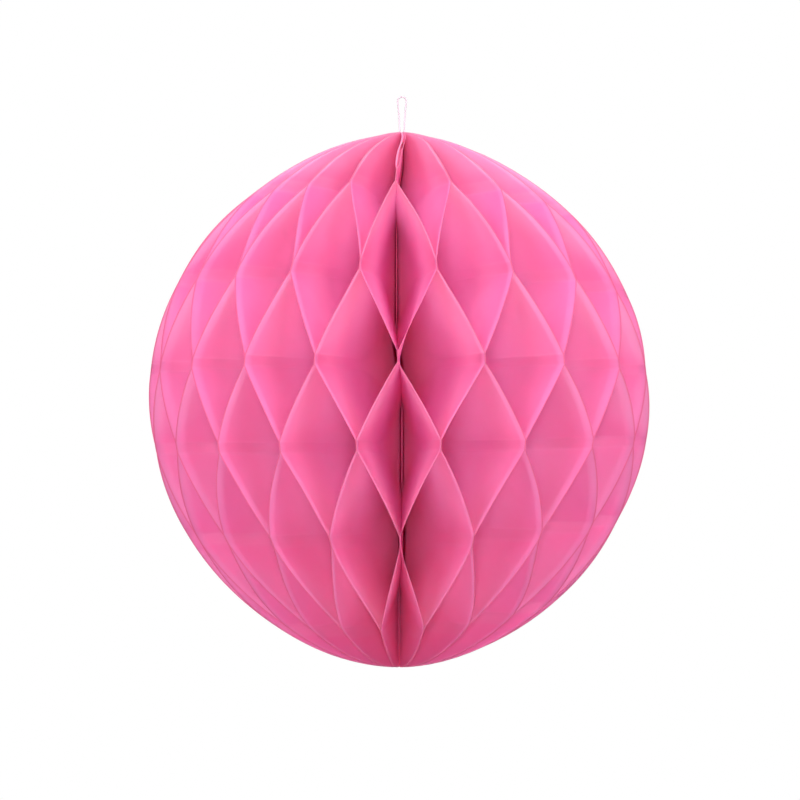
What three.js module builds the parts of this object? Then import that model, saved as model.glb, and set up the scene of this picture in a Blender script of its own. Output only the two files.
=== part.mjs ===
// Honeycomb paper ball: half-moon tissue leaves fanned round a spine thread. Neighbouring leaves are
// glued together on staggered lines, so they open into cells, and a loop of thread hangs the ball.
import * as THREE from "three";

// The ball, in millimetres
const BALL_HEIGHT = 200;
const BALL_WIDTH = 186.5;
// Exponents of the rim curve above and below the middle: 0.5 is an ellipse, and more draws the rim in
// towards the pole
const CROWN_EXPONENT = 0.6;
const FOOT_EXPONENT = 0.58;

// The paper leaves, with the blunt width of a leaf at its two tips
const LEAF_COUNT = 40;
const PAPER_THICKNESS = 0.12;
const TIP_WIDTH = 1;
// Degrees by which the leaves, opened by hand, drift from an even fan
const FAN_DRIFT = 2.5;

// The glue lines: their spacing up the spine, the height of the first one above the middle, their
// width and thickness, and the stretch next to each pole that has none
const GLUE_PITCH = 31.4;
const GLUE_LEVEL = 12.4;
const GLUE_WIDTH = 4.5;
const GLUE_THICKNESS = 0.1;
const POLE_MARGIN = 10;

// The thread, and the gap round it where it lies inside the spine
const THREAD_DIAMETER = 0.8;
const SEAT_GAP = 0.25;
// Route of the hanging loop, up one strand and down the other, as x, y, z
const LOOP_ROUTE = [
  [-0.85, 0, 96],
  [-0.85, 0, 97.5],
  [-0.85, 0, 99],
  [-0.85, 0, 100.5],
  [-0.93, 0.05, 103],
  [-1.06, 0.1, 105.5],
  [-1.24, 0.1, 108],
  [-1.46, 0.05, 110.3],
  [-1.62, 0, 111.9],
  [-1.2, 0, 113.1],
  [0, 0, 113.6],
  [1.2, 0, 113.1],
  [1.62, 0, 111.9],
  [1.46, -0.05, 110.3],
  [1.24, -0.1, 108],
  [1.06, -0.1, 105.5],
  [0.93, -0.05, 103],
  [0.85, 0, 100.5],
  [0.85, 0, 99],
  [0.85, 0, 97.5],
  [0.85, 0, 96],
];

// Fineness of the model
const BAND_STEPS = 3;
const CAP_STEPS = 5;
const LOOP_STEPS = 44;
const LOOP_SIDES = 8;
const SPINE_SIDES = 16;
// Place of the -Y face among a box's six sides, and the corners listed for each of its squares
const BACK_FACE = 3;
const SQUARE_CORNERS = 6;

const paper = new THREE.MeshStandardMaterial({ color: 0xf2649f, roughness: 0.9, metalness: 0 });
const thread = new THREE.MeshStandardMaterial({ color: 0xf8e3ea, roughness: 0.8, metalness: 0 });

// Angle of a line of the fan, counted from the front towards +X. Leaf i lies between lines i and i + 1.
const drift = THREE.MathUtils.degToRad(FAN_DRIFT);
function fanAngle(line) {
  const even = (line / LEAF_COUNT) * 2 * Math.PI;
  return even + drift * (1 - Math.cos(2 * even));
}

// Half the angle that a leaf has to itself
function halfWedge(leaf) {
  return (fanAngle(leaf + 1) - fanAngle(leaf)) / 2;
}

// The leaves start at the radius where they lie side by side, or further out to clear the thread
const leafNumbers = Array.from({ length: LEAF_COUNT }, (_, leaf) => leaf);
const halfLayer = (PAPER_THICKNESS + GLUE_THICKNESS) / 2;
const packedRadius = halfLayer / Math.sin(Math.min(...leafNumbers.map(halfWedge)));
const loopStart = new THREE.Vector3(...LOOP_ROUTE[0]);
const strandReach = Math.abs(loopStart.x) + THREAD_DIAMETER / 2;
const spineRadius = Math.max(packedRadius, strandReach + SEAT_GAP);

// Radius of the die-cut rim at a height
const halfHeight = BALL_HEIGHT / 2;
const tipRadius = spineRadius + TIP_WIDTH;
function rimRadius(z) {
  const exponent = z > 0 ? CROWN_EXPONENT : FOOT_EXPONENT;
  const fullness = Math.max(0, 1 - (z / halfHeight) ** 2) ** exponent;
  return tipRadius + (BALL_WIDTH / 2 - tipRadius) * fullness;
}

// Numbers of the lowest and highest glue lines, counted up from the one just above the middle
const glueReach = halfHeight - POLE_MARGIN;
const lowestLine = Math.ceil((-glueReach - GLUE_LEVEL) / GLUE_PITCH);
const highestLine = Math.floor((glueReach - GLUE_LEVEL) / GLUE_PITCH);

// Lean of a leaf at a height: -1 is against the fan line before it, and 1 against the one after it.
// It changes sides from one glue line to the next, and keeps its side beyond the last ones.
function lean(leaf, z) {
  const place = THREE.MathUtils.clamp((z - GLUE_LEVEL) / GLUE_PITCH, lowestLine, highestLine);
  const line = Math.floor(place);
  const glued = GLUE_WIDTH / GLUE_PITCH / 2;
  const crossing = THREE.MathUtils.clamp((place - line - glued) / (1 - 2 * glued), 0, 1);
  const side = (leaf + line) % 2 === 0 ? -1 : 1;
  return side * (1 - 2 * crossing);
}

// Heights at which a leaf is shaped, from the lower tip to the upper one: the edges of each glue
// line, even steps between the lines, and steps that grow shorter towards the tips
function leafHeights() {
  const bottomLine = GLUE_LEVEL + lowestLine * GLUE_PITCH - GLUE_WIDTH / 2;
  const topLine = GLUE_LEVEL + highestLine * GLUE_PITCH + GLUE_WIDTH / 2;
  const heights = [];
  for (let step = 0; step < CAP_STEPS; step += 1) {
    heights.push(-halfHeight + (halfHeight + bottomLine) * (step / CAP_STEPS) ** 2);
  }
  for (let line = lowestLine; line <= highestLine; line += 1) {
    const lower = GLUE_LEVEL + line * GLUE_PITCH - GLUE_WIDTH / 2;
    heights.push(lower);
    const bands = line < highestLine ? BAND_STEPS : 1;
    for (let step = 0; step < bands; step += 1) {
      heights.push(lower + GLUE_WIDTH + ((GLUE_PITCH - GLUE_WIDTH) * step) / BAND_STEPS);
    }
  }
  for (let step = CAP_STEPS - 1; step >= 0; step -= 1) {
    heights.push(halfHeight - (halfHeight - topLine) * (step / CAP_STEPS) ** 2);
  }
  return heights;
}

// A flat sheet of unit width, with one row of squares for each step in height. Its two faces are
// split along the same diagonals, so that it stays evenly thick when it is twisted.
function flatSheet(rows) {
  const sheet = new THREE.BoxGeometry(1, PAPER_THICKNESS, rows, 1, 1, rows);
  const corners = sheet.getIndex().array;
  const back = sheet.groups[BACK_FACE];
  for (let i = back.start; i < back.start + back.count; i += SQUARE_CORNERS) {
    const [a, b, d, , c] = corners.slice(i, i + SQUARE_CORNERS);
    corners.set([a, b, c, a, c, d], i);
  }
  return sheet;
}

// A leaf: a sheet whose near edge becomes the spine edge and whose far edge becomes the rim, swung
// from side to side as it rises
function leafGeometry(leaf, heights) {
  const rows = heights.length - 1;
  const sheet = flatSheet(rows);
  const points = sheet.getAttribute("position");
  const middle = (fanAngle(leaf) + fanAngle(leaf + 1)) / 2;
  for (let i = 0; i < points.count; i += 1) {
    const z = heights[Math.round(points.getZ(i) + rows / 2)];
    const across = points.getX(i) + 0.5;
    const radius = THREE.MathUtils.lerp(spineRadius, rimRadius(z), across);
    const swing = lean(leaf, z);
    const angle = middle + swing * (halfWedge(leaf) - Math.asin(halfLayer / radius));
    const facing = middle + swing * halfWedge(leaf);
    const offset = points.getY(i);
    const x = radius * Math.sin(angle) + offset * Math.cos(facing);
    const y = -radius * Math.cos(angle) + offset * Math.sin(facing);
    points.setXYZ(i, x, y, z);
  }
  sheet.computeVertexNormals();
  return sheet;
}

// The thread that binds the spine, from the lower tips up to the ends of the hanging loop
function spineThread() {
  const radius = spineRadius - SEAT_GAP;
  const top = loopStart.z - SEAT_GAP;
  const length = top + halfHeight;
  const geometry = new THREE.CylinderGeometry(radius, radius, length, SPINE_SIDES);
  const mesh = new THREE.Mesh(geometry, thread);
  mesh.rotation.x = Math.PI / 2;
  mesh.position.z = top - length / 2;
  mesh.name = "spine_thread";
  return mesh;
}

// The loop that the ball hangs by, with both its ends inside the spine
function hangingLoop() {
  const section = new THREE.Shape();
  for (let side = 0; side < LOOP_SIDES; side += 1) {
    const angle = (side / LOOP_SIDES) * 2 * Math.PI;
    const x = (THREAD_DIAMETER / 2) * Math.cos(angle);
    const y = (THREAD_DIAMETER / 2) * Math.sin(angle);
    if (side === 0) section.moveTo(x, y);
    else section.lineTo(x, y);
  }
  const extrudePath = new THREE.CatmullRomCurve3(LOOP_ROUTE.map((point) => new THREE.Vector3(...point)));
  const geometry = new THREE.ExtrudeGeometry(section, { steps: LOOP_STEPS, extrudePath });
  const mesh = new THREE.Mesh(geometry, thread);
  mesh.name = "hanging_loop";
  return mesh;
}

const ball = new THREE.Group();
const heights = leafHeights();
for (const leaf of leafNumbers) {
  const mesh = new THREE.Mesh(leafGeometry(leaf, heights), paper);
  mesh.name = `leaf_${String(leaf + 1).padStart(2, "0")}`;
  ball.add(mesh);
}
ball.add(spineThread(), hangingLoop());

export default ball;
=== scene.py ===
import logging
import math
from collections.abc import Iterator, Mapping
from dataclasses import dataclass, field
from enum import Enum

import bmesh
import bpy
from mathutils import Matrix, Vector, noise


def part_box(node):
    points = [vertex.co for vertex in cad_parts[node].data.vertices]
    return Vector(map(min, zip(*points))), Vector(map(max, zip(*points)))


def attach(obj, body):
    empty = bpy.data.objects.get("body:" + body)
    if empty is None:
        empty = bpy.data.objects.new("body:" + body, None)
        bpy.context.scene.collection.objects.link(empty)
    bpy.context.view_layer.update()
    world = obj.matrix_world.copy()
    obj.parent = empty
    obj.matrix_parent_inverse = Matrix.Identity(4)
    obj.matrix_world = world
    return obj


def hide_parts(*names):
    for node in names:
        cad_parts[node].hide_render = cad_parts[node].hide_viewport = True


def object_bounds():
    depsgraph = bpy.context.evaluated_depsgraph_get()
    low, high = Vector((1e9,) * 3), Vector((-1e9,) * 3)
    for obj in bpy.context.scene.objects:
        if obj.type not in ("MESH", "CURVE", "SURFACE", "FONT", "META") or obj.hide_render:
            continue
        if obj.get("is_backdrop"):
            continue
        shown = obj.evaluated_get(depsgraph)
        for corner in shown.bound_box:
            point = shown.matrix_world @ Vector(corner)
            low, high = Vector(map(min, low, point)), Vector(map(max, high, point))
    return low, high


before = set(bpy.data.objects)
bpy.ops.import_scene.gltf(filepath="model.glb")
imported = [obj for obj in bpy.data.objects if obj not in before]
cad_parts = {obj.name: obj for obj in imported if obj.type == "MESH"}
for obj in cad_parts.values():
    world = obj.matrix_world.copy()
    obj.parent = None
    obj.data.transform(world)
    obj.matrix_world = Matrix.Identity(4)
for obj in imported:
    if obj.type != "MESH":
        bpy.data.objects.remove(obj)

CAD_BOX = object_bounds()
BODY = "root"
MM = 0.001

MIX_SHARE = 0
MIX_FIRST = 6
MIX_SECOND = 7
MIX_RESULT = 2

FIBRE_STRETCH = (1.0, 0.45, 1.0)
STRIPE_EDGE = 0.62
STRIPE_FULL = 0.42
HALF_PLY = 0.5

LIGHT_BOUNCES = 32
PAPER_BOUNCES = 24

Colour = tuple[float, float, float]
Place = tuple[float, float, float]
Source = bpy.types.NodeSocket | float | tuple[float, ...]

log = logging.getLogger("paper_ball")


def dye(red: int, green: int, blue: int) -> Colour:
    """Turns a colour as it looks on a screen into the linear one that shaders use.

    Args:
        red: Red, from 0 to 255.
        green: Green, from 0 to 255.
        blue: Blue, from 0 to 255.

    Returns:
        The linear colour, from 0 to 1.
    """

    def linear(level: int) -> float:
        """Returns one level of the colour made linear."""
        share = level / 255
        return share / 12.92 if share <= 0.04045 else ((share + 0.055) / 1.055) ** 2.4

    return linear(red), linear(green), linear(blue)


def smooth_step(share: float) -> float:
    """Eases a share from 0 to 1, level at both ends."""
    share = min(max(share, 0.0), 1.0)
    return share * share * (3 - 2 * share)


def new_object(name: str, shape: bmesh.types.BMesh) -> bpy.types.Object:
    """Puts a finished shape in the scene.

    Args:
        name: The object's name.
        shape: The shape, which is freed.

    Returns:
        The object, at the origin.
    """
    mesh = bpy.data.meshes.new(name)
    shape.to_mesh(mesh)
    shape.free()
    made = bpy.data.objects.new(name, mesh)
    bpy.context.scene.collection.objects.link(made)
    return made


class Slot(Enum):
    """The names of the material slots."""

    PAPER = "tissue_paper"
    THREAD = "thread"


class NodeBench:
    """A node tree that is filled node by node."""

    def __init__(self, tree: bpy.types.NodeTree) -> None:
        """Starts on an emptied tree.

        Args:
            tree: The tree to fill.
        """
        self.tree = tree
        self.tree.nodes.clear()

    def add(
        self,
        kind: str,
        inputs: Mapping[str | int, Source] | None = None,
        **options: object,
    ) -> bpy.types.Node:
        """Adds a node.

        Args:
            kind: The node's type name after ShaderNode, or the whole name.
            inputs: What feeds each input, by its name or place: a socket, or a plain value.
            **options: Properties of the node itself.

        Returns:
            The new node.
        """
        name = kind if kind.startswith("NodeGroup") else f"ShaderNode{kind}"
        node = self.tree.nodes.new(name)
        for option, value in options.items():
            setattr(node, option, value)
        for place, source in (inputs or {}).items():
            if isinstance(source, bpy.types.NodeSocket):
                self.tree.links.new(source, node.inputs[place])
            else:
                node.inputs[place].default_value = source
        return node

    def calc(self, operation: str, *terms: Source) -> bpy.types.NodeSocket:
        """Adds a Math node.

        Args:
            operation: The node's operation.
            *terms: What it works on.

        Returns:
            The result.
        """
        return self.add("Math", dict(enumerate(terms)), operation=operation).outputs[0]

    def ramp(self, value: Source, start: float, end: float) -> bpy.types.NodeSocket:
        """Eases a value into a mask.

        Args:
            value: What is measured.
            start: Where the mask is 0.
            end: Where the mask is 1.

        Returns:
            The mask.
        """
        inputs = {"Value": value, "From Min": start, "From Max": end}
        return self.add("MapRange", inputs, interpolation_type="SMOOTHSTEP").outputs[0]

    @staticmethod
    def _opaque(source: Source) -> Source:
        """Returns a plain colour with full cover, and anything else as it is."""
        return (*source, 1.0) if isinstance(source, tuple) else source

    def blend(
        self,
        share: Source,
        first: Source,
        second: Source,
        mode: str = "MIX",
    ) -> bpy.types.NodeSocket:
        """Mixes two colours.

        Args:
            share: How much of the second colour shows.
            first: The colour at 0.
            second: The colour at 1.
            mode: The way of mixing.

        Returns:
            The mixed colour.
        """
        inputs = {
            MIX_SHARE: share,
            MIX_FIRST: self._opaque(first),
            MIX_SECOND: self._opaque(second),
        }
        return self.add("Mix", inputs, data_type="RGBA", blend_type=mode).outputs[MIX_RESULT]

    def spread(self, value: Source, low: float, high: float) -> bpy.types.NodeSocket:
        """Spreads a mask over a range.

        Args:
            value: The mask.
            low: The result where the mask is 0.
            high: The result where the mask is 1.

        Returns:
            The result.
        """
        return self.add("MapRange", {"Value": value, "To Min": low, "To Max": high}).outputs[0]


def new_material(name: str) -> tuple[bpy.types.Material, NodeBench]:
    """Makes an empty material.

    Args:
        name: The material's name.

    Returns:
        The material, and the bench for its nodes.
    """
    material = bpy.data.materials.new(name)
    material.use_nodes = True
    return material, NodeBench(material.node_tree)


def new_group(name: str, inputs: Mapping[str, str], outputs: Mapping[str, str]) -> bpy.types.NodeTree:
    """Makes an empty shader node group.

    Args:
        name: The group's name.
        inputs: The inputs' names, each with its socket type.
        outputs: The outputs' names, each with its socket type.

    Returns:
        The group, with its sockets.
    """
    group = bpy.data.node_groups.new(name, "ShaderNodeTree")
    for in_out, sockets in (("INPUT", inputs), ("OUTPUT", outputs)):
        for socket, kind in sockets.items():
            group.interface.new_socket(socket, in_out=in_out, socket_type=f"NodeSocket{kind}")
    return group


def fibre_group() -> bpy.types.NodeTree:
    """Makes the group for matted fibres, as in tissue and in spun thread.

    Returns:
        The group. Cloud is how thick the fibres lie, and Fibre is the height of the single fibres.
    """
    group = new_group(
        "matted_fibres",
        {"Place": "Vector", "Cloud Size": "Float", "Fibre Size": "Float"},
        {"Cloud": "Float", "Fibre": "Float"},
    )
    bench = NodeBench(group)
    given = bench.add("NodeGroupInput").outputs
    clouds = bench.calc("DIVIDE", 1.0, given["Cloud Size"])
    cloud = bench.add(
        "TexNoise",
        {"Vector": given["Place"], "Scale": clouds, "Detail": 3.0, "Roughness": 0.6},
    )
    fibres = bench.calc("DIVIDE", 1.0, given["Fibre Size"])
    stretched = bench.add("Mapping", {"Vector": given["Place"], "Scale": FIBRE_STRETCH})
    fibre = bench.add(
        "TexNoise",
        {
            "Vector": stretched.outputs[0],
            "Scale": fibres,
            "Detail": 4.0,
            "Roughness": 0.65,
            "Distortion": 0.8,
        },
    )
    bench.add("NodeGroupOutput", {"Cloud": cloud.outputs[0], "Fibre": fibre.outputs[0]})
    return group


def glue_group() -> bpy.types.NodeTree:
    """Makes the group for stripes of glue at an even spacing.

    Returns:
        The group. Stripe is 1 in the middle of a stripe and 0 between the stripes.
    """
    group = new_group(
        "glue_stripes",
        {"Height": "Float", "Level": "Float", "Pitch": "Float", "Width": "Float"},
        {"Stripe": "Float"},
    )
    bench = NodeBench(group)
    given = bench.add("NodeGroupInput").outputs
    raised = bench.calc("SUBTRACT", given["Height"], given["Level"])
    off_line = bench.calc("PINGPONG", raised, bench.calc("MULTIPLY", given["Pitch"], 0.5))
    across = bench.calc("DIVIDE", off_line, given["Width"])
    bench.add("NodeGroupOutput", {"Stripe": bench.ramp(across, STRIPE_EDGE, STRIPE_FULL)})
    return group


def ply_group() -> bpy.types.NodeTree:
    """Makes the group for the slanting plies of a twisted thread.

    Returns:
        The group. Ply is the height of the plies, from 0 in the grooves to 0.5 between them.
    """
    group = new_group(
        "twisted_plies",
        {"Along": "Float", "Around": "Float", "Lay": "Float", "Plies": "Float"},
        {"Ply": "Float"},
    )
    bench = NodeBench(group)
    given = bench.add("NodeGroupInput").outputs
    turns = bench.calc("DIVIDE", given["Along"], given["Lay"])
    slant = bench.calc("MULTIPLY", bench.calc("ADD", turns, given["Around"]), given["Plies"])
    bench.add("NodeGroupOutput", {"Ply": bench.calc("PINGPONG", slant, HALF_PLY)})
    return group


@dataclass(frozen=True)
class TissueFinish:
    """Thin dyed tissue paper: matte, cloudy in thickness, and translucent, with painted light and shade
    in its colour.
    """

    fibres: bpy.types.NodeTree
    glue: bpy.types.NodeTree
    rim_dye: Colour = dye(251, 128, 192)
    # Painted light: a paler colour away from the rim, lifting the shaded depths of the cells.
    inner_painted_light: Colour = dye(250, 179, 225)
    # Painted shade: a deeper colour towards the foot, where less light comes from below.
    foot_painted_shade: Colour = dye(252, 152, 202)
    foot_shade_start: float = -30 * MM
    foot_shade_full: float = -80 * MM
    painted_light_reach: float = 35 * MM
    # Painted shade tint: redder and less blue than the inner colour, in the shaded cells far from the
    # rim, near the spine.
    deep_shade_tint: Colour = dye(254, 178, 220)
    deep_shade_start: float = 46 * MM
    deep_shade_full: float = 78 * MM
    # Painted light: a paler colour on the crown, where the lamp above lights the top.
    crown_painted_light: Colour = dye(251, 170, 212)
    crown_light_start: float = 70 * MM
    crown_light_full: float = 85 * MM
    # Painted shade: a darker tint along the cut edge, over the brightly lit edge.
    edge_painted_shade: Colour = (0.92, 0.68, 0.68)
    edge_shade_reach: float = 0.8 * MM
    thick_tint: Colour = (0.99, 0.93, 0.96)
    # Painted light: a lighter colour on the glue bands near the rim, offsetting the shade of the fold
    # and the doubled paper.
    glue_painted_light: Colour = (1.0, 1.25, 1.08)
    passed: Colour = dye(251, 230, 242)
    # Painted light in the translucent colour too: paler away from the rim.
    passed_painted_light: Colour = dye(252, 237, 250)
    passed_deep_shade_tint: Colour = dye(255, 234, 249)
    light_through: float = 0.55
    cloud_size: float = 9 * MM
    fibre_size: float = 0.7 * MM
    relief: float = 0.04 * MM
    bump: float = 0.35
    thin_cloud: float = 0.65
    thick_cloud: float = 0.3
    smoothest: float = 0.82
    roughest: float = 0.98
    gloss: float = 0.0

    def material(self, plan: "LeafPlan", flat_map: str, rim_mark: str) -> bpy.types.Material:
        """Makes the tissue's material.

        Args:
            plan: Where the glue lines lie on a leaf.
            flat_map: The UV map that holds a leaf's flat cut, in metres.
            rim_mark: The attribute that holds the distance to the cut edge, in metres.

        Returns:
            The material.
        """
        material, bench = new_material("dyed_tissue")
        place = bench.add("UVMap", uv_map=flat_map).outputs["UV"]
        height = bench.add("SeparateXYZ", {"Vector": place}).outputs["Y"]
        matted = bench.add(
            "Group",
            {"Place": place, "Cloud Size": self.cloud_size, "Fibre Size": self.fibre_size},
            node_tree=self.fibres,
        ).outputs
        stripes = bench.add(
            "Group",
            {
                "Height": height,
                "Level": plan.glue_level,
                "Pitch": plan.glue_pitch,
                "Width": plan.glue_width,
            },
            node_tree=self.glue,
        ).outputs
        from_rim = bench.add("Attribute", attribute_name=rim_mark).outputs["Fac"]
        # Painted light: the colour grows paler from the rim inwards, where the cells lie in shade.
        inside = bench.ramp(from_rim, 0.0, self.painted_light_reach)
        # Painted shade along the cut edge.
        cut = bench.ramp(from_rim, self.edge_shade_reach, 0.0)
        # Painted shade tint in the cells near the spine.
        deep = bench.ramp(from_rim, self.deep_shade_start, self.deep_shade_full)

        # Painted shade towards the foot.
        low = bench.ramp(height, self.foot_shade_start, self.foot_shade_full)
        colour = bench.blend(low, self.inner_painted_light, self.foot_painted_shade)
        colour = bench.blend(inside, self.rim_dye, colour)
        colour = bench.blend(deep, colour, self.deep_shade_tint)
        # Painted light on the crown, from the lamp above.
        crown_light_mask = bench.ramp(height, self.crown_light_start, self.crown_light_full)
        colour = bench.blend(crown_light_mask, colour, self.crown_painted_light)
        # Painted light on the glue bands near the rim.
        at_rim = bench.calc("SUBTRACT", 1.0, inside)
        glue_light_mask = bench.calc("MULTIPLY", stripes["Stripe"], at_rim)
        colour = bench.blend(glue_light_mask, colour, self.glue_painted_light, "MULTIPLY")
        # Painted shade along the cut edge, multiplied in.
        colour = bench.blend(cut, colour, self.edge_painted_shade, "MULTIPLY")
        thick = bench.ramp(matted["Cloud"], self.thin_cloud, self.thick_cloud)
        colour = bench.blend(thick, colour, self.thick_tint, "MULTIPLY")
        rough = bench.spread(matted["Fibre"], self.smoothest, self.roughest)
        bump = bench.add(
            "Bump",
            {"Height": matted["Fibre"], "Strength": self.bump, "Distance": self.relief},
        ).outputs[0]
        paper = bench.add(
            "BsdfPrincipled",
            {
                "Base Color": colour,
                "Roughness": rough,
                "Normal": bump,
                "Specular IOR Level": self.gloss,
            },
        )
        # The translucent colour takes the same painted light away from the rim.
        passed = bench.blend(inside, self.passed, self.passed_painted_light)
        # The translucent colour takes the same painted shade tint near the spine.
        passed = bench.blend(deep, passed, self.passed_deep_shade_tint)
        # The translucent colour takes the same painted shade along the cut edge.
        passed = bench.blend(cut, passed, self.edge_painted_shade, "MULTIPLY")
        through = bench.add("BsdfTranslucent", {"Color": passed, "Normal": bump})
        mixed = bench.add(
            "MixShader",
            {0: self.light_through, 1: paper.outputs[0], 2: through.outputs[0]},
        )
        bench.add("OutputMaterial", {"Surface": mixed.outputs[0]})
        return material


@dataclass(frozen=True)
class ThreadFinish:
    """Twisted cotton thread, off-white with a tint of the paper."""

    fibres: bpy.types.NodeTree
    plies: bpy.types.NodeTree
    crown: Colour = dye(228, 213, 222)
    # Painted shade: the darker colour in the grooves between the plies.
    groove_shade: Colour = dye(213, 194, 207)
    lay: float = 2.4 * MM
    ply_count: float = 2.0
    crest_start: float = 0.35
    cloud_size: float = 1.2 * MM
    fibre_size: float = 0.12 * MM
    fibre_height: float = 0.5
    relief: float = 0.05 * MM
    bump: float = 0.6
    smoothest: float = 0.7
    roughest: float = 0.95
    nap: float = 0.2

    def _spin(
        self,
        name: str,
        bench: NodeBench,
        along: Source,
        around: Source,
        place: Source,
    ) -> None:
        """Dresses a thread once its coordinates are known.

        Args:
            name: The thread's name, for the log.
            bench: The tree of the thread's material.
            along: The way along the thread, in metres.
            around: The way round it, in turns.
            place: The coordinates that the fibres follow, in metres.
        """
        plies = bench.add(
            "Group",
            {"Along": along, "Around": around, "Lay": self.lay, "Plies": self.ply_count},
            node_tree=self.plies,
        ).outputs
        spun = bench.add(
            "Group",
            {"Place": place, "Cloud Size": self.cloud_size, "Fibre Size": self.fibre_size},
            node_tree=self.fibres,
        ).outputs
        # Painted shade: the grooves between the plies are darker than the crests.
        crest = bench.ramp(plies["Ply"], 0.0, self.crest_start)
        colour = bench.blend(crest, self.groove_shade, self.crown)
        rough = bench.spread(spun["Fibre"], self.smoothest, self.roughest)
        fuzz = bench.calc("MULTIPLY", spun["Fibre"], self.fibre_height)
        height = bench.calc("ADD", crest, fuzz)
        bump = bench.add(
            "Bump",
            {"Height": height, "Strength": self.bump, "Distance": self.relief},
        ).outputs[0]
        cotton = bench.add(
            "BsdfPrincipled",
            {"Base Color": colour, "Roughness": rough, "Normal": bump, "Sheen Weight": self.nap},
        )
        bench.add("OutputMaterial", {"Surface": cotton.outputs[0]})
        log.info("thread finish %s", name)

    def loop_material(self, thread_map: str) -> bpy.types.Material:
        """Makes the finish of the hanging loop.

        Args:
            thread_map: The UV map that holds the turns round the thread and the metres along it.

        Returns:
            The material.
        """
        material, bench = new_material("loop_thread")
        place = bench.add("UVMap", uv_map=thread_map).outputs["UV"]
        parts = bench.add("SeparateXYZ", {"Vector": place}).outputs
        self._spin(material.name, bench, parts["Y"], parts["X"], place)
        return material

    def spine_material(self) -> bpy.types.Material:
        """Makes the finish of the upright thread in the spine.

        Returns:
            The material.
        """
        material, bench = new_material("spine_thread")
        place = bench.add("TexCoord").outputs["Object"]
        parts = bench.add("SeparateXYZ", {"Vector": place}).outputs
        turned = bench.calc("ARCTAN2", parts["Y"], parts["X"])
        around = bench.calc("DIVIDE", turned, math.tau)
        self._spin(material.name, bench, parts["Z"], around, place)
        return material


@dataclass(frozen=True)
class StainedThreadFinish(ThreadFinish):
    """The same thread inside the ball, stained by the paper's dye."""

    crown: Colour = dye(254, 104, 160)
    # Painted shade in the grooves of the stained thread.
    groove_shade: Colour = dye(250, 85, 142)


@dataclass(frozen=True)
class LeafPlan:
    """The cut and the glue lines that all leaves share, in metres and radians."""

    count: int
    half_height: float
    half_width: float = 93.25 * MM
    crown_exponent: float = 0.6
    foot_exponent: float = 0.58
    spine_radius: float = 1.54 * MM
    tip_width: float = 1 * MM
    fan_drift: float = math.radians(2.5)
    glue_level: float = 12.4 * MM
    glue_pitch: float = 31.4 * MM
    glue_width: float = 4.5 * MM
    lowest_line: int = -3
    highest_line: int = 2

    def rim_radius(self, height: float) -> float:
        """Returns the radius of the die-cut rim at a height on the flat leaf."""
        exponent = self.crown_exponent if height > 0 else self.foot_exponent
        fullness = max(0.0, 1 - (height / self.half_height) ** 2) ** exponent
        tip = self.spine_radius + self.tip_width
        return tip + (self.half_width - tip) * fullness

    def fan_angle(self, line: int) -> float:
        """Returns the angle of a line of the fan, from the front towards +X."""
        even = line / self.count * math.tau
        return even + self.fan_drift * (1 - math.cos(2 * even))

    def glue_height(self, row: int) -> float:
        """Returns the height of a glue line on the flat leaf."""
        return self.glue_level + row * self.glue_pitch

    def flat_area(self) -> float:
        """Returns the area of one flat leaf."""
        strips = 400
        step = 2 * self.half_height / strips
        heights = (-self.half_height + (strip + 0.5) * step for strip in range(strips))
        return sum((self.rim_radius(height) - self.spine_radius) * step for height in heights)


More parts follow.
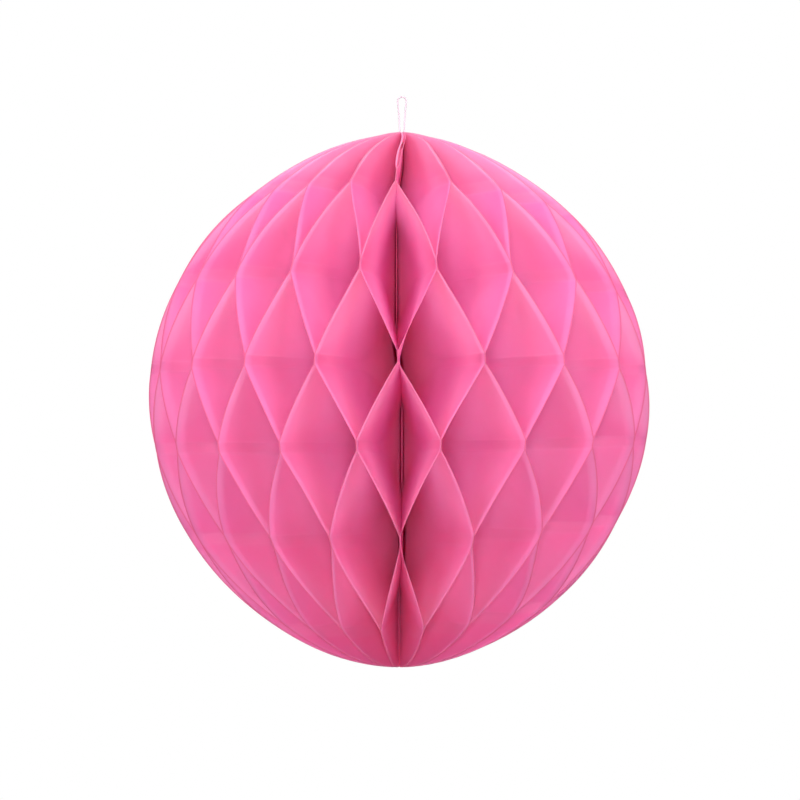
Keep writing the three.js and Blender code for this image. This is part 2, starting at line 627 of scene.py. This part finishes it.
@dataclass(frozen=True)
class Handling:
    """How far opening by hand has pulled the paper from the even plan, in metres and radians."""

    sway: float = math.radians(0.3)
    sway_seed: Place = (7.31, 5.17, 0.5)
    lift: float = 0.5 * MM
    lift_seed: Place = (6.13, 4.71, 9.5)
    wrinkle: float = 0.35 * MM
    wrinkle_size: float = 22 * MM
    wrinkle_seed: float = 1.7
    peel: float = 0.5 * MM
    loose_line: int = 0
    loose_sway: float = math.radians(-1.5)
    crown_gap: float = 1.5 * MM
    pole_gap: float = 0.3 * MM
    widest_gap: float = 0.35
    gap_rise: float = 0.25
    curl: float = 0.55
    curl_reach: float = 2.2 * MM
    crown_turn: float = math.radians(3.5)
    crown_start: float = 0.88
    foot_turn: float = math.radians(1.5)
    pinch: float = 0.06
    right_pinch: float = 1.0
    right_rise: float = 0.5 * MM
    lopsided: float = 1.0 * MM
    lopsided_reach: float = 25 * MM
    crown_sag: float = 1.3 * MM
    sag_start: float = 0.55
    sag_full: float = 0.9
    sag_reach: float = 14 * MM
    lean: float = 2.0 * MM
    lean_start: float = 2 * MM
    lean_full: float = 22 * MM
    lean_fade: float = 72 * MM
    lean_end: float = 90 * MM
    foot_lean: float = 1.1 * MM
    foot_lean_start: float = 55 * MM
    foot_lean_full: float = 75 * MM
    lean_reach: float = 55 * MM
    uneven_rows: tuple[float, ...] = (
        -3.2 * MM,
        -0.9 * MM,
        0.3 * MM,
        -1.4 * MM,
        -0.4 * MM,
        2.4 * MM,
    )
    spring_above: float = 0.88
    spring_below: float = 1.12
    polar_pull: float = 0.5
    spine_shut: float = 0.42
    shut_reach: float = 45 * MM

    @staticmethod
    def _chance(seed: Place, line: int, row: int) -> float:
        """Returns a number from -1 to 1 that is a glued spot's own."""
        return noise.noise(Vector((line * seed[0], row * seed[1], seed[2])))

    def node_sway(self, line: int, row: int) -> float:
        """Returns the angle by which a glued spot has been pushed sideways."""
        return self.sway * self._chance(self.sway_seed, line, row)

    def node_lift(self, line: int, row: int) -> float:
        """Returns the height by which a glued spot has been pulled up or down."""
        return self.lift * self._chance(self.lift_seed, line, row)

    def turn(self, up: float) -> float:
        """Returns the angle by which the fan has been turned at a share of its half height."""
        crown = smooth_step((up - self.crown_start) / (1 - self.crown_start))
        return self.crown_turn * crown + self.foot_turn * min(up, 0.0) ** 2

    def sag(self, radius: float, up: float) -> float:
        """Gives the way that the crown's shoulders have sunk beside the thread.

        Args:
            radius: The distance from the spine.
            up: The share of the half height.

        Returns:
            The way down.
        """
        high = smooth_step((up - self.sag_start) / (self.sag_full - self.sag_start))
        return self.crown_sag * high * smooth_step(radius / self.sag_reach)

    def leaning(self, radius: float, height: float) -> float:
        """Gives the way that the spine and the leaves next to it are bowed to the left.

        Args:
            radius: The distance from the spine.
            height: The height on the flat leaf.

        Returns:
            The way to the left, most at the spine and none at the rim.
        """
        upper = self.lean * smooth_step((height - self.lean_start) / (self.lean_full - self.lean_start))
        upper *= smooth_step((self.lean_end - height) / (self.lean_end - self.lean_fade))
        fall = -height - self.foot_lean_start
        lower = self.foot_lean * smooth_step(fall / (self.foot_lean_full - self.foot_lean_start))
        return (upper + lower) * smooth_step(1 - radius / self.lean_reach)

    def row_shift(self, angle: float, height: float) -> float:
        """Gives the way that a glue line has moved where the fan was opened wider.

        Args:
            angle: The angle on the fan.
            height: The height of the glue line on the flat leaf.

        Returns:
            The way up.
        """
        side = math.sin(angle)
        closer = self.pinch * height * side**2 * (1 + self.right_pinch * side)
        return self.right_rise * side - closer

    def crossing(self, share: float, pole: int) -> float:
        """Eases the way of a leaf from one glue line to the next one up.

        Args:
            share: The share of the height between the two lines.
            pole: 1 where the crown is next, -1 where the foot is, and 0 in between.

        Returns:
            The share of the way across, with the paper's spring at both ends.
        """
        share = min(max(share, 0.0), 1.0)
        share -= self.polar_pull * pole * share * (1 - share)
        rise = share**3 - 2 * share**2 + share
        fall = share**3 - share**2
        return smooth_step(share) + rise * self.spring_above + fall * self.spring_below

    def closing(self, across: float, radius: float) -> float:
        """Keeps a leaf against its neighbours for longer near the spine, where the fan opens last.

        Args:
            across: The share of the way across from one neighbour to the other.
            radius: The distance from the spine.

        Returns:
            The share that is left of it, 0 or 1 where the leaf lies against a neighbour.
        """
        near = smooth_step(1 - radius / self.shut_reach)
        shut = self.spine_shut * near
        opened = min(max((across - shut) / (1 - 2 * shut), 0.0), 1.0)
        return opened + (smooth_step(opened) - opened) * near


@dataclass
class TissueLeaf:
    """One half-moon leaf, folded from side to side between its glue lines."""

    number: int
    plan: LeafPlan
    handling: Handling
    fold_rows: int = 20
    glue_rows: int = 2
    cap_rows: int = 14
    columns: int = 20
    thickness: float = 0.06 * MM
    half_layer: float = 0.065 * MM
    map_step: float = 137 * MM
    flat_map: str = "flat_cut"
    rim_mark: str = "rim_distance"
    held: dict[int, float] = field(default_factory=dict, init=False)
    piece: bpy.types.Object | None = field(default=None, init=False)

    def __post_init__(self) -> None:
        """Works out the heights of the glue lines."""
        rows = range(self.plan.lowest_line, self.plan.highest_line + 1)
        self.held = {row: self._held_height(row) for row in rows}

    @property
    def name(self) -> str:
        """The node that this leaf stands for."""
        return f"leaf_{self.number + 1:02d}"

    @property
    def _grip(self) -> float:
        """Half the width that a glue line still holds."""
        return self.plan.glue_width / 2 - self.handling.peel

    def _side(self, row: int) -> int:
        """Returns -1 where a glue line holds the leaf to the one before, and 1 to the one after."""
        return -1 if (self.number + row) % 2 == 0 else 1

    def _held_line(self, row: int) -> int:
        """Returns the line of the fan that a glue line holds the leaf against."""
        return (self.number + (self._side(row) + 1) // 2) % self.plan.count

    def _held_angle(self, row: int, radius: float, slack: float = 1.0) -> float:
        """Gives the angle of the leaf at a glue line.

        Args:
            row: The glue line.
            radius: The distance from the spine.
            slack: How much of the pull from handling shows.

        Returns:
            The angle, with room for half a layer of paper and glue.
        """
        line = self.number + (self._side(row) + 1) // 2
        pulled = self.handling.node_sway(self._held_line(row), row)
        if self._is_loose(row):
            pulled += self.handling.loose_sway
        layer = math.asin(self.half_layer / radius)
        return self.plan.fan_angle(line) + pulled * slack - self._side(row) * layer

    def _held_height(self, row: int) -> float:
        """Returns the height of a glue line on this leaf, as handling has left it."""
        line = self._held_line(row)
        even = self.plan.glue_height(row)
        shift = self.handling.row_shift(self.plan.fan_angle(line), even)
        uneven = self.handling.uneven_rows[row - self.plan.lowest_line]
        return even + shift + uneven + self.handling.node_lift(line, row)

    def _row_below(self, height: float) -> int:
        """Returns the glue line below a height, or the number before the lowest one."""
        below = (row for row, held in self.held.items() if held <= height)
        return max(below, default=self.plan.lowest_line - 1)

    def _even_height(self, height: float) -> float:
        """Returns the height on the even plan, where glue lines have an even spacing."""
        plan = self.plan
        row = self._row_below(height)
        if plan.lowest_line <= row < plan.highest_line:
            low, high = self.held[row], self.held[row + 1]
            return plan.glue_height(row) + plan.glue_pitch * (height - low) / (high - low)
        last = min(max(row, plan.lowest_line), plan.highest_line)
        return plan.glue_height(last) + height - self.held[last]

    def _is_loose(self, row: int) -> bool:
        """Returns whether the leaf is one of the pair that has come apart at the crown."""
        crown = row == self.plan.highest_line
        return crown and self._held_line(row) == self.handling.loose_line

    def _beyond(self, row: int, height: float) -> float:
        """Returns the share of the way from the last glue line to the pole."""
        reach = self.plan.half_height - abs(self.held[row]) - self._grip
        return min(max((abs(height - self.held[row]) - self._grip) / reach, 0.0), 1.0)

    def _parting(self, row: int, height: float) -> float:
        """Gives the angle by which the leaf has parted from its pair beyond its last glue line.

        Args:
            row: The last glue line.
            height: The height on the flat leaf.

        Returns:
            The angle, half of the pair's own.
        """
        plan, hand = self.plan, self.handling
        wedge = plan.fan_angle(self.number + 1) - plan.fan_angle(self.number)
        gap = hand.crown_gap if self._is_loose(row) else hand.pole_gap
        opening = min(gap / 2 / plan.rim_radius(height), wedge * hand.widest_gap)
        return opening * smooth_step(self._beyond(row, height) / hand.gap_rise)

    def _cap_angle(self, row: int, radius: float, height: float) -> float:
        """Gives the angle of the leaf beyond its last glue line, where it hangs free.

        Args:
            row: The last glue line.
            radius: The distance from the spine.
            height: The height on the flat leaf.

        Returns:
            The angle.
        """
        slack = 1 - self._beyond(row, height)
        return self._held_angle(row, radius, slack) - self._side(row) * self._parting(row, height)

    def _curl(self, row: int, radius: float, height: float) -> float:
        """Gives the way that the rim of a loose leaf curls from its pair beyond its last glue line.

        Args:
            row: The last glue line.
            radius: The distance from the spine.
            height: The height on the flat leaf.

        Returns:
            The way sideways, 0 on a leaf that does not curl.
        """
        if not self._is_loose(row) or self._side(row) < 0:
            return 0.0
        hand = self.handling
        rim = self.plan.rim_radius(height)
        bent = smooth_step(1 - (rim - radius) / hand.curl_reach)
        return hand.curl * bent * 2 * rim * self._parting(row, height)

    def _crossed(self, row: int, radius: float, height: float) -> float:
        """Gives the share of the way across between a glue line and the next one up.

        Args:
            row: The lower glue line.
            radius: The distance from the spine.
            height: The height on the flat leaf.

        Returns:
            The share.
        """
        plan, hand = self.plan, self.handling
        low, high = self.held[row], self.held[row + 1]
        share = (height - low - self._grip) / (high - low - 2 * self._grip)
        pole = (row + 1 == plan.highest_line) - (row == plan.lowest_line)
        return hand.closing(hand.crossing(share, pole), radius)

    def _fold(self, radius: float, height: float, across: float) -> Vector:
        """Moves a point of the flat leaf to its place in the opened ball.

        Args:
            radius: The distance from the straight edge's axis.
            height: The height on the flat leaf.
            across: The share of the way from the straight edge to the rim.

        Returns:
            The place of the point.
        """
        plan, hand = self.plan, self.handling
        row = self._row_below(height)
        if row < plan.lowest_line or row == plan.highest_line:
            last = max(row, plan.lowest_line)
            angle = self._cap_angle(last, radius, height)
            push = self._curl(last, radius, height)
        else:
            crossed = self._crossed(row, radius, height)
            start, end = self._held_angle(row, radius), self._held_angle(row + 1, radius)
            angle = start + (end - start) * crossed
            spot = Vector((radius, height, self.number * hand.wrinkle_seed)) / hand.wrinkle_size
            push = hand.wrinkle * math.sin(math.pi * crossed) * across * noise.noise(spot)
        up = height / plan.half_height
        angle += hand.turn(up)
        sideways = Vector((math.cos(angle), math.sin(angle), 0))
        outwards = Vector((math.sin(angle), -math.cos(angle), 0))
        left = hand.lopsided * math.sin(angle) ** 2 * min(radius / hand.lopsided_reach, 1.0)
        left += hand.leaning(radius, height)
        moved = Vector((-left, 0, height - hand.sag(radius, up)))
        return outwards * radius + sideways * push + moved

    def _levels(self) -> list[float]:
        """Gives the heights of the sheet's rows of points.

        Returns:
            The heights from the foot to the crown, closest together beside the folds.
        """
        edges = [-self.plan.half_height]
        for held in self.held.values():
            edges += [held - self._grip, held + self._grip]
        edges.append(self.plan.half_height)
        levels = edges[:1]
        for place, (start, end) in enumerate(zip(edges, edges[1:])):
            rows = self.glue_rows if place % 2 else self.fold_rows
            if place in (0, len(edges) - 2):
                rows = self.cap_rows
            for row in range(1, rows + 1):
                eased = (1 - math.cos(math.pi * row / rows)) / 2
                levels.append(start + (end - start) * eased)
        return levels

    def build(self) -> bpy.types.Object:
        """Cuts the flat leaf from a sheet, folds it and gives it its thickness.

        Returns:
            The finished piece.
        """
        plan = self.plan
        levels = self._levels()
        rows = len(levels) - 1
        sheet = bmesh.new()
        bmesh.ops.create_grid(sheet, x_segments=self.columns, y_segments=rows, size=1)
        flat_layer = sheet.loops.layers.uv.new(self.flat_map)
        rim_layer = sheet.verts.layers.float.new(self.rim_mark)
        flat: dict[bmesh.types.BMVert, tuple[float, float]] = {}
        for corner in sheet.verts:
            across = (corner.co.x + 1) / 2
            height = levels[round((corner.co.y + 1) / 2 * rows)]
            rim = plan.rim_radius(height)
            radius = plan.spine_radius + (rim - plan.spine_radius) * across
            corner[rim_layer] = rim - radius
            flat[corner] = (radius + self.number * self.map_step, self._even_height(height))
            corner.co = self._fold(radius, height, across)
        for face in sheet.faces:
            face.smooth = True
            for loop in face.loops:
                loop[flat_layer].uv = flat[loop.vert]
        self.piece = new_object(f"tissue_{self.name}", sheet)
        paper = self.piece.modifiers.new("paper_thickness", "SOLIDIFY")
        paper.thickness = self.thickness
        paper.offset = 0
        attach(self.piece, BODY)
        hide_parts(self.name)
        plan.flat_area()
        return self.piece

    def dress(self, tissue: bpy.types.Material) -> None:
        """Gives the leaf its paper.

        Args:
            tissue: The paper's material.
        """
        self.piece.data.materials.append(tissue)


@dataclass
class PaperFan:
    """All the leaves, fanned round the spine."""

    plan: LeafPlan
    handling: Handling = Handling()
    leaves: list[TissueLeaf] = field(default_factory=list, init=False)

    def build(self) -> Iterator[bpy.types.Object]:
        """Builds the leaves in turn.

        Yields:
            Each finished leaf.
        """
        for number in range(self.plan.count):
            leaf = TissueLeaf(number, self.plan, self.handling)
            self.leaves.append(leaf)
            yield leaf.build()

    def dress(self, finish: TissueFinish) -> None:
        """Gives every leaf the same paper.

        Args:
            finish: The paper.
        """
        first = self.leaves[0]
        tissue = finish.material(self.plan, first.flat_map, first.rim_mark)
        for leaf in self.leaves:
            leaf.dress(tissue)


@dataclass
class HangingLoop:
    """The loop of two-ply thread that the ball hangs by."""

    node: str = "hanging_loop"
    diameter: float = 0.8 * MM
    lay: float = 2.4 * MM
    waist: float = 0.62
    sides: int = 14
    steps: int = 220
    thread_map: str = "thread_lay"
    exit: Place = (0, 0, 0.1)
    route: tuple[Place, ...] = (
        (-0.00085, 0, 0.096),
        (-0.00085, 0, 0.0975),
        (-0.00085, 0, 0.099),
        (-0.00085, 0, 0.1005),
        (-0.00093, 0.00005, 0.103),
        (-0.00106, 0.0001, 0.1055),
        (-0.00124, 0.0001, 0.108),
        (-0.00146, 0.00005, 0.1103),
        (-0.00162, 0, 0.1119),
        (-0.0012, 0, 0.1131),
        (0, 0, 0.1136),
        (0.0012, 0, 0.1131),
        (0.00162, 0, 0.1119),
        (0.00146, -0.00005, 0.1103),
        (0.00124, -0.0001, 0.108),
        (0.00106, -0.0001, 0.1055),
        (0.00093, -0.00005, 0.103),
        (0.00085, 0, 0.1005),
        (0.00085, 0, 0.099),
        (0.00085, 0, 0.0975),
        (0.00085, 0, 0.096),
    )
    piece: bpy.types.Object | None = field(default=None, init=False)

    def _spot(self, share: float) -> Vector:
        """Gives a point on the smooth curve through the route.

        Args:
            share: The share of the way along the route's points.

        Returns:
            The point.
        """
        last = len(self.route) - 1
        place = min(max(share, 0.0), 1.0) * last
        step = min(int(place), last - 1)
        near = (min(max(step + shift, 0), last) for shift in (-1, 0, 1, 2))
        before, start, end, after = (Vector(self.route[point]) for point in near)
        t = place - step
        bend = (2 * before - 5 * start + 4 * end - after) * t**2
        twist = (3 * start - before - 3 * end + after) * t**3
        return start + ((end - before) * t + bend + twist) / 2

    def _order(self, face: bmesh.types.BMFace) -> int:
        """Returns a face's place in the mesh, which extruding leaves to chance."""
        corners = [corner.index for corner in face.verts]
        return min(corners) * self.sides * (self.steps + 1) + max(corners)

    def build(self) -> bpy.types.Object:
        """Draws the twisted section along the route.

        Returns:
            The finished thread.
        """
        spots = [self._spot(step / self.steps) for step in range(self.steps + 1)]
        thread = bmesh.new()
        lay_layer = thread.loops.layers.uv.new(self.thread_map)
        made = bmesh.ops.create_circle(thread, segments=self.sides, radius=self.diameter / 2)
        ring = made["verts"]
        for corner in ring:
            lobe = corner.co.x / corner.co.length
            corner.co *= self.waist + (1 - self.waist) * lobe**2
        edges = list(thread.edges)
        turned = Matrix.Identity(4)
        along = 0.0
        ways: dict[bmesh.types.BMVert, tuple[float, float]] = {}
        for step, spot in enumerate(spots):
            ahead = spots[min(step + 1, self.steps)] - spots[max(step - 1, 0)]
            along += (spot - spots[max(step - 1, 0)]).length
            upright = ahead.normalized().cross(Vector((0, 1, 0))).normalized()
            side = ahead.normalized().cross(upright)
            basis = Matrix((upright, side, ahead.normalized())).transposed().to_4x4()
            twist = Matrix.Rotation(along / self.lay * math.tau, 4, "Z")
            place = Matrix.Translation(spot) @ basis @ twist
            if step:
                drawn = bmesh.ops.extrude_edge_only(thread, edges=edges)["geom"]
                ring = [part for part in drawn if isinstance(part, bmesh.types.BMVert)]
                edges = [
                    part for part in drawn
                    if isinstance(part, bmesh.types.BMEdge) and all(v in ring for v in part.verts)
                ]
            bmesh.ops.transform(thread, matrix=place @ turned.inverted(), verts=ring)
            turned = place
            for number, corner in enumerate(ring):
                ways[corner] = (number / self.sides, along)
        bmesh.ops.holes_fill(thread, edges=thread.edges, sides=0)
        bmesh.ops.recalc_face_normals(thread, faces=thread.faces)
        thread.verts.index_update()
        thread.faces.sort(key=self._order)
        for face in thread.faces:
            face.smooth = True
            for loop in face.loops:
                loop[lay_layer].uv = ways[loop.vert]
        self.piece = new_object("thread_loop", thread)
        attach(self.piece, BODY)
        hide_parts(self.node)
        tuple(self.exit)
        return self.piece

    def dress(self, finish: ThreadFinish) -> None:
        """Gives the loop its thread.

        Args:
            finish: The thread.
        """
        self.piece.data.materials.append(finish.loop_material(self.thread_map))


@dataclass
class SpineThread:
    """The thread that binds the straight edges, bowed as they are."""

    handling: Handling
    node: str = "spine_thread"
    steps: int = 60
    piece: bpy.types.Object | None = field(default=None, init=False)

    def build(self) -> bpy.types.Object:
        """Bows the frame's straight thread.

        Returns:
            The finished thread.
        """
        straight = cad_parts[self.node]
        low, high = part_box(self.node)
        thread = bmesh.new()
        thread.from_mesh(straight.data)
        thread.transform(straight.matrix_world)
        for step in range(1, self.steps):
            level = Vector((0, 0, low.z + (high.z - low.z) * step / self.steps))
            parts = [*thread.verts, *thread.edges, *thread.faces]
            bmesh.ops.bisect_plane(thread, geom=parts, plane_co=level, plane_no=(0, 0, 1))
        for corner in thread.verts:
            corner.co.x -= self.handling.leaning(0.0, corner.co.z)
        self.piece = new_object("thread_spine", thread)
        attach(self.piece, BODY)
        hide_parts(self.node)
        return self.piece

    def dress(self, finish: ThreadFinish) -> None:
        """Gives the spine its thread.

        Args:
            finish: The thread.
        """
        self.piece.data.materials.append(finish.spine_material())


def direction(azimuth: float, elevation: float) -> Vector:
    """Gives a direction from the ball's middle.

    Args:
        azimuth: The angle round the ball, from the front towards +X.
        elevation: The angle above the horizon.

    Returns:
        The direction, of length 1.
    """
    level = math.cos(elevation)
    return Vector((math.sin(azimuth) * level, -math.cos(azimuth) * level, math.sin(elevation)))


@dataclass(frozen=True)
class Softbox:
    """A square lamp that faces the ball, with angles in degrees, sizes in metres and power in watts."""

    name: str
    azimuth: float
    elevation: float
    size: float
    power: float
    distance: float = 1.8

    def hang(self) -> None:
        """Puts the lamp in the scene, out of the camera's sight."""
        lamp = bpy.data.lights.new(self.name, "AREA")
        lamp.size = self.size
        lamp.energy = self.power
        towards = direction(math.radians(self.azimuth), math.radians(self.elevation))
        held = bpy.data.objects.new(self.name, lamp)
        held.location = towards * self.distance
        held.rotation_euler = (-towards).to_track_quat("-Z", "Y").to_euler()
        held.visible_camera = False
        bpy.context.scene.collection.objects.link(held)


@dataclass
class Studio:
    """The camera, the soft light, the white surroundings and the pale floor."""

    image_side: float = 800
    axis_column: float = 402
    middle_row: float = 398.5
    distance: float = 0.823
    azimuth: float = math.radians(0.88)
    elevation: float = math.radians(-1.8)
    focal_pixels: float = 2197
    sensor: float = 36
    floor_drop: float = 1.0
    floor_side: float = 1.9
    floor_colour: Colour = (0.8, 0.8, 0.8)
    floor_roughness: float = 0.9
    surround_strength: float = 0.05
    softboxes: tuple[Softbox, ...] = (
        Softbox("camera_softbox", azimuth=0, elevation=0, size=0.4, power=17.0),
        Softbox("top_softbox", azimuth=0, elevation=84, size=1.2, power=28.0),
        Softbox("left_softbox", azimuth=-36, elevation=19, size=0.9, power=17.5),
        Softbox("right_softbox", azimuth=36, elevation=19, size=0.9, power=17.5),
        Softbox("left_rear_softbox", azimuth=-130, elevation=20, size=1.2, power=9.0),
        Softbox("right_rear_softbox", azimuth=130, elevation=20, size=1.2, power=9.0),
        Softbox("rear_softbox", azimuth=180, elevation=40, size=1.6, power=24.0),
    )

    def place_camera(self) -> None:
        """Puts the camera where the photograph was taken from."""
        camera = bpy.data.cameras.new("camera")
        camera.sensor_width = self.sensor
        camera.lens = self.focal_pixels / self.image_side * self.sensor
        camera.shift_x = (self.image_side / 2 - self.axis_column) / self.image_side
        camera.shift_y = (self.middle_row - self.image_side / 2) / self.image_side
        back = direction(self.azimuth, self.elevation)
        held = bpy.data.objects.new("camera", camera)
        held.location = back * self.distance
        held.rotation_euler = (-back).to_track_quat("-Z", "Y").to_euler()
        bpy.context.scene.collection.objects.link(held)
        bpy.context.scene.camera = held

    def light(self) -> None:
        """Lights the ball from white surroundings and the softboxes."""
        world = bpy.data.worlds.new("white_surroundings")
        world.use_nodes = True
        bench = NodeBench(world.node_tree)
        ray = bench.add("LightPath").outputs
        seen = bench.calc("MAXIMUM", ray["Is Camera Ray"], ray["Is Glossy Ray"])
        strength = bench.spread(seen, self.surround_strength, 1.0)
        white = bench.add("Background", {"Color": (1, 1, 1, 1), "Strength": strength})
        bench.add("OutputWorld", {"Surface": white.outputs[0]})
        bpy.context.scene.world = world
        for softbox in self.softboxes:
            softbox.hang()

    def lay_floor(self) -> None:
        """Lays the pale floor below the hanging ball."""
        floor = bmesh.new()
        lower = Matrix.Translation((0, 0, -self.floor_drop))
        half = self.floor_side / 2
        bmesh.ops.create_grid(floor, x_segments=1, y_segments=1, size=half, matrix=lower)
        laid = new_object("floor", floor)
        material, bench = new_material("pale_floor")
        plain = bench.add(
            "BsdfPrincipled",
            {"Base Color": (*self.floor_colour, 1), "Roughness": self.floor_roughness},
        )
        bench.add("OutputMaterial", {"Surface": plain.outputs[0]})
        laid.data.materials.append(material)
        laid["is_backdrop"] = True


def report(piece: bpy.types.Object) -> None:
    """Logs a piece and its size.

    Args:
        piece: The finished piece.
    """
    size = ", ".join(f"{side / MM:.1f}" for side in piece.dimensions)
    log.info("%s: %s mm", piece.name, size)


def write_sizes() -> None:
    """Works out the frame's box and the dressed ball's box."""
    boxes = {"cad": CAD_BOX, "visual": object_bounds()}
    sizes = {name: [list(corner) for corner in box] for name, box in boxes.items()}


def main() -> None:
    """Builds and dresses the ball, then sets the scene round it."""
    logging.basicConfig(level=logging.INFO)
    scene = bpy.context.scene
    scene.view_settings.view_transform = "Standard"
    scene.cycles.max_bounces = LIGHT_BOUNCES
    scene.cycles.diffuse_bounces = PAPER_BOUNCES
    scene.cycles.transmission_bounces = PAPER_BOUNCES
    studio = Studio()
    studio.place_camera()
    loop = HangingLoop()
    report(loop.build())
    leaf_nodes = [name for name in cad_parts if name.startswith("leaf_")]
    top = max(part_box(name)[1].z for name in leaf_nodes)
    fan = PaperFan(LeafPlan(count=len(leaf_nodes), half_height=top))
    for piece in fan.build():
        report(piece)
    spine = SpineThread(fan.handling)
    report(spine.build())
    fibres = fibre_group()
    fan.dress(TissueFinish(fibres, glue_group()))
    plies = ply_group()
    loop.dress(ThreadFinish(fibres, plies))
    spine.dress(StainedThreadFinish(fibres, plies))
    studio.light()
    studio.lay_floor()
    write_sizes()


if __name__ == "__main__":
    main()
